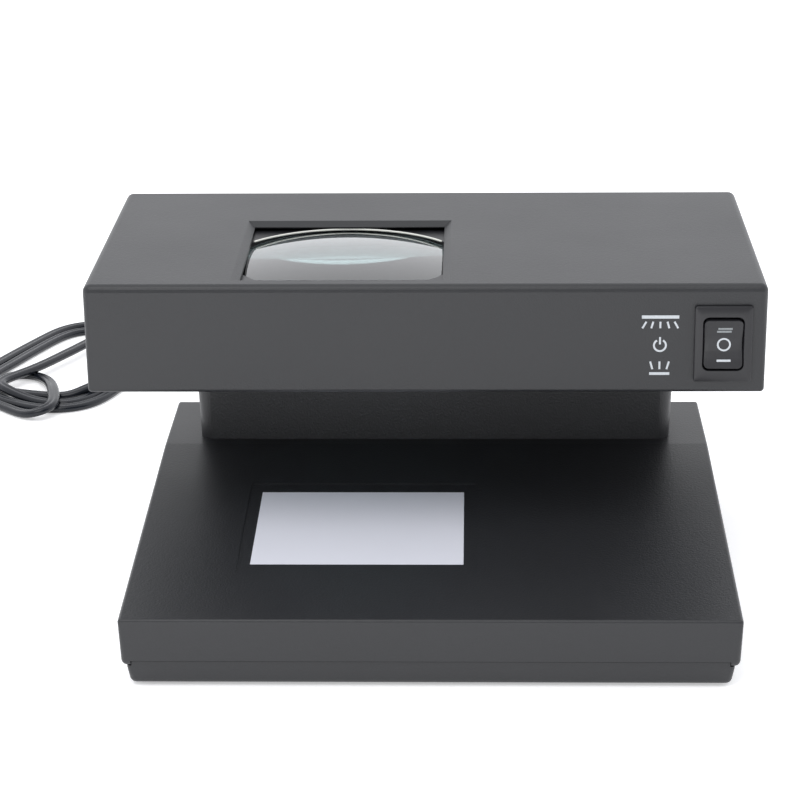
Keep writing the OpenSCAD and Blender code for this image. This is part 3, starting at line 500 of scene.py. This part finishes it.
def rocker_face(z):
    """How far the rocker's face stands from the pivot at height z above it, in millimetres."""
    return float(np.interp(z, [p[0] for p in ROCKER_FACE], [p[1] for p in ROCKER_FACE]))


def make_rocker():
    """The rocker: one side outline, carried across its width and drawn in at both ends."""
    half = ROCKER_W / 2
    reach = 10.5  # the height at which an inset of that size would close the outline
    squeeze = 0.3  # share of the inset taken from front and back
    front = [(rocker_face(z), z) for z in np.linspace(-ROCKER_TOP, ROCKER_TOP, 33)]
    back = [(-4.4, 9.9), (-1.4, 10.2), (2.6, 4.0), (2.6, -4.0), (-1.4, -10.2), (-4.4, -9.9)]
    left = [(-half + x, inset) for x, inset in ROCKER_ENDS]
    right = [(half - x, inset) for x, inset in reversed(ROCKER_ENDS)]
    loops = []
    for x, inset in left + right:
        loop = []
        for y, z in front + back:
            drawn = inset * (squeeze if y < 0 else -squeeze)
            loop.append(PIVOT + Vector((x, y + drawn, z * (1 - inset / reach))) * MM)
        loops.append(loop)
    ob = loft("rocker_key", loops)
    finish_piece(ob, "rocker", "black_moulding", "rocker")
    bevel = ob.modifiers.new("soft_edges", "BEVEL")
    bevel.width = 0.35 * MM
    bevel.segments = 3
    bevel.limit_method = "ANGLE"
    bevel.angle_limit = math.radians(32)


make_rocker()


# ---------------------------------------------------------------- printed marks
def circle(cx, cz, r, start, end, steps=40):
    """Points round a circle from one angle to the other, without the last one if it's a full turn."""
    turns = [math.radians(start + (end - start) * k / steps) for k in range(steps + (end - start < 360))]
    return [(cx + r * math.cos(a), cz + r * math.sin(a)) for a in turns]


def ring_mark(cx, cz, r, stroke, start=0, end=360):
    """A ring, or part of one: (points, quads)."""
    outer = circle(cx, cz, r, start, end)
    inner = circle(cx, cz, r - stroke, start, end)
    m = len(outer)
    quads = [(k, (k + 1) % m, m + (k + 1) % m, m + k) for k in range(m)]
    if end - start < 360:
        quads = quads[:-1]
    return outer + inner, quads


def stroke_mark(x0, z0, x1, z1, stroke):
    """A straight bar from one point to the other: (points, quads)."""
    dx, dz = x1 - x0, z1 - z0
    size = math.hypot(dx, dz)
    nx, nz = -dz / size * stroke / 2, dx / size * stroke / 2
    return [(x0 + nx, z0 + nz), (x1 + nx, z1 + nz), (x0 - nx, z0 - nz), (x1 - nx, z1 - nz)], [(0, 1, 3, 2)]


FILM_OUT = 0.05
FILM_IN = -0.03


def marks(name, shapes, place, body, material):
    """Printed marks: each shape becomes a thin raised film that follows the surface behind it."""
    verts, faces = [], []
    for points, quads in shapes:
        start = len(verts)
        n = len(points)
        verts += [place(x, z, FILM_OUT) for x, z in points] + [place(x, z, FILM_IN) for x, z in points]
        used = {}
        for q in quads:
            faces.append(tuple(start + i for i in q))
            faces.append(tuple(start + n + i for i in reversed(q)))
            for i, j in zip(q, q[1:] + q[:1]):
                used[(i, j)] = used.get((i, j), 0) + 1
        for i, j in used:
            if (j, i) not in used:
                faces.append((start + j, start + i, start + n + i, start + n + j))
    ob = add_object(name, verts, faces, smooth=False)
    bm = bmesh.new()
    bm.from_mesh(ob.data)
    bmesh.ops.recalc_face_normals(bm, faces=bm.faces)
    bm.to_mesh(ob.data)
    bm.free()
    finish_piece(ob, body, "white_moulding", material=material)


PRINT_WHITE = surface("print_white", (0.56, 0.59, 0.62), 0.5, spread=0.05, patch=900, grain=2400,
                      grain_height=0.004)
PRINT_GREY = surface("print_grey", (0.26, 0.28, 0.29), 0.5, spread=0.08, patch=900, grain=2400,
                     grain_height=0.004)


def on_rocker(x, z, lift):
    """A point this far in front of the rocker's face, x and z counted in mm from the pivot."""
    return (PIVOT.x + x * MM, PIVOT.y + (rocker_face(z) - lift) * MM, PIVOT.z + z * MM)


marks("rocker_marks", [ring_mark(0.2, -0.2, 2.7, 0.68), stroke_mark(-2.5, -6.6, 2.9, -6.6, 0.85)],
      on_rocker, "rocker", PRINT_WHITE)
marks("rocker_bars", [stroke_mark(-2.2, 6.4, 3.4, 6.4, 0.75), stroke_mark(-2.6, 5.2, 3.0, 5.2, 0.8)],
      on_rocker, "rocker", PRINT_GREY)


def on_front(x, z, lift):
    """A point this far in front of the head's front face, x and z in mm."""
    return (x * MM, FACE_Y - lift * MM, z * MM)


# generic signs beside the three switch positions: lamp above, off, light from below
SIGN_X = 91.85
RAY = 0.75
LAMP_ABOVE = [stroke_mark(SIGN_X - 7.25, 123.1, SIGN_X + 7.25, 123.1, 1.3)]
LAMP_ABOVE += [stroke_mark(SIGN_X + x, 121.2, SIGN_X + x + slant, 118.5, RAY)
               for x, slant in ((-5.45, -1.5), (-2.75, -0.75), (0, 0), (2.75, 0.75), (5.45, 1.5))]
OFF_SIGN = [ring_mark(SIGN_X, 111.5, 2.7, RAY, 120, 420), stroke_mark(SIGN_X, 111.9, SIGN_X, 114.9, RAY)]
LIGHT_BELOW = [stroke_mark(SIGN_X - 3.95, 99.9, SIGN_X + 3.95, 99.9, 1.1)]
LIGHT_BELOW += [stroke_mark(SIGN_X + x, 101.7, SIGN_X + x + slant, 104.9, RAY)
                for x, slant in ((-2.75, -0.9), (0, 0), (2.75, 0.9))]
marks("switch_signs", LAMP_ABOVE + OFF_SIGN + LIGHT_BELOW, on_front, "root", PRINT_WHITE)


# ---------------------------------------------------------------- floor, light
FLOOR_HALF = 6


def make_floor():
    """A plain white floor that glows slightly, so that it stays as white as the photograph's."""
    mesh = bpy.data.meshes.new("floor")
    bm = bmesh.new()
    bmesh.ops.create_grid(bm, x_segments=4, y_segments=4, size=FLOOR_HALF)
    bm.to_mesh(mesh)
    bm.free()
    ob = bpy.data.objects.new("floor", mesh)
    scene.collection.objects.link(ob)
    mesh.materials.append(surface("floor_white", (0.95, 0.95, 0.955), 0.75, spread=0.01, patch=3,
                                  grain=300, grain_height=0.0, emission=0.42))


def make_world():
    """A bright white studio, dimmer behind the camera."""
    world = bpy.data.worlds.new("studio")
    world.use_nodes = True
    t = world.node_tree
    coords = t.nodes.new("ShaderNodeTexCoord")
    parts = t.nodes.new("ShaderNodeSeparateXYZ")
    t.links.new(coords.outputs["Generated"], parts.inputs["Vector"])
    power = t.nodes.new("ShaderNodeMapRange")
    for key, value in (("From Min", -0.8), ("From Max", -0.1), ("To Min", 0.65), ("To Max", 1.2)):
        power.inputs[key].default_value = value
    t.links.new(parts.outputs["Y"], power.inputs["Value"])
    background = t.nodes["Background"]
    background.inputs["Color"].default_value = (0.96, 0.97, 1.0, 1)
    t.links.new(power.outputs["Result"], background.inputs["Strength"])
    scene.world = world


def area_light(name, place, target, size, power):
    """A soft rectangular light at place, turned to target, its size in metres and its power in watts."""
    light = bpy.data.lights.new(name, "AREA")
    light.shape = "RECTANGLE"
    light.size, light.size_y = size
    light.energy = power
    ob = bpy.data.objects.new(name, light)
    ob.location = place
    ob.rotation_euler = (Vector(target) - Vector(place)).to_track_quat("-Z", "Y").to_euler()
    scene.collection.objects.link(ob)


make_floor()
make_world()
area_light("key_above", place=(-0.35, -0.6, 1.3), target=(0, 0, 0.05), size=(1.1, 0.9), power=6)
area_light("fill_low", place=(-0.1, -0.42, 0.028), target=(-0.02, -0.117, 0.012),
           size=(0.5, 0.03), power=0.15)
scene.view_settings.view_transform = "Standard"
